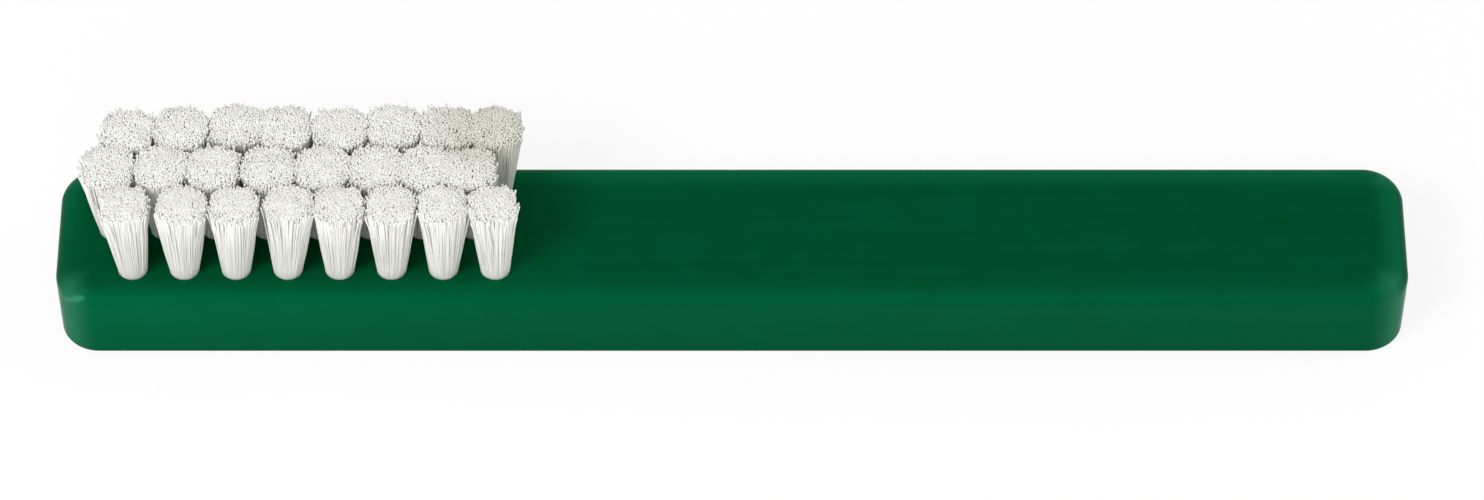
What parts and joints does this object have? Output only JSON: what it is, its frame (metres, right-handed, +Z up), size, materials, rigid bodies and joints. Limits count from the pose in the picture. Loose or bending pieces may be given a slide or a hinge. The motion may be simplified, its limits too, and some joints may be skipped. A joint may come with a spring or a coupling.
{
  "type": "cleaning brush",
  "caption": "Small flat cleaning brush: a straight green plastic bar with rounded edges, and short white nylon tufts set in rows in one end of its top face.",
  "frame": {"origin": "middle of the bar's flat underside, on the surface that it rests on", "axes": "+X along the bar, away from the tufted end; +Y across the bar, away from the side that faces the camera; +Z up, the way the tufts point"},
  "size_m": [0.14, 0.018, 0.0199],
  "materials": {
    "handle_plastic": "solid green moulded plastic, satin gloss",
    "bristle_nylon": "fine off-white nylon filament, cut level at the tips",
    "anchor_steel": "plain rolled steel strip"
  },
  "bodies": {
    "root": {"handle": "handle_plastic", "tuft_front_1": "bristle_nylon", "tuft_front_2": "bristle_nylon", "tuft_front_3": "bristle_nylon", "tuft_front_4": "bristle_nylon", "tuft_front_5": "bristle_nylon", "tuft_front_6": "bristle_nylon", "tuft_front_7": "bristle_nylon", "tuft_front_8": "bristle_nylon", "tuft_middle_1": "bristle_nylon", "tuft_middle_2": "bristle_nylon", "tuft_middle_3": "bristle_nylon", "tuft_middle_4": "bristle_nylon", "tuft_middle_5": "bristle_nylon", "tuft_middle_6": "bristle_nylon", "tuft_middle_7": "bristle_nylon", "tuft_middle_8": "bristle_nylon", "tuft_rear_1": "bristle_nylon", "tuft_rear_2": "bristle_nylon", "tuft_rear_3": "bristle_nylon", "tuft_rear_4": "bristle_nylon", "tuft_rear_5": "bristle_nylon", "tuft_rear_6": "bristle_nylon", "tuft_rear_7": "bristle_nylon", "tuft_rear_8": "bristle_nylon", "anchor_front_1": "anchor_steel", "anchor_front_2": "anchor_steel", "anchor_front_3": "anchor_steel", "anchor_front_4": "anchor_steel", "anchor_front_5": "anchor_steel", "anchor_front_6": "anchor_steel", "anchor_front_7": "anchor_steel", "anchor_front_8": "anchor_steel", "anchor_middle_1": "anchor_steel", "anchor_middle_2": "anchor_steel", "anchor_middle_3": "anchor_steel", "anchor_middle_4": "anchor_steel", "anchor_middle_5": "anchor_steel", "anchor_middle_6": "anchor_steel", "anchor_middle_7": "anchor_steel", "anchor_middle_8": "anchor_steel", "anchor_rear_1": "anchor_steel", "anchor_rear_2": "anchor_steel", "anchor_rear_3": "anchor_steel", "anchor_rear_4": "anchor_steel", "anchor_rear_5": "anchor_steel", "anchor_rear_6": "anchor_steel", "anchor_rear_7": "anchor_steel", "anchor_rear_8": "anchor_steel"}
  },
  "joints": []
}
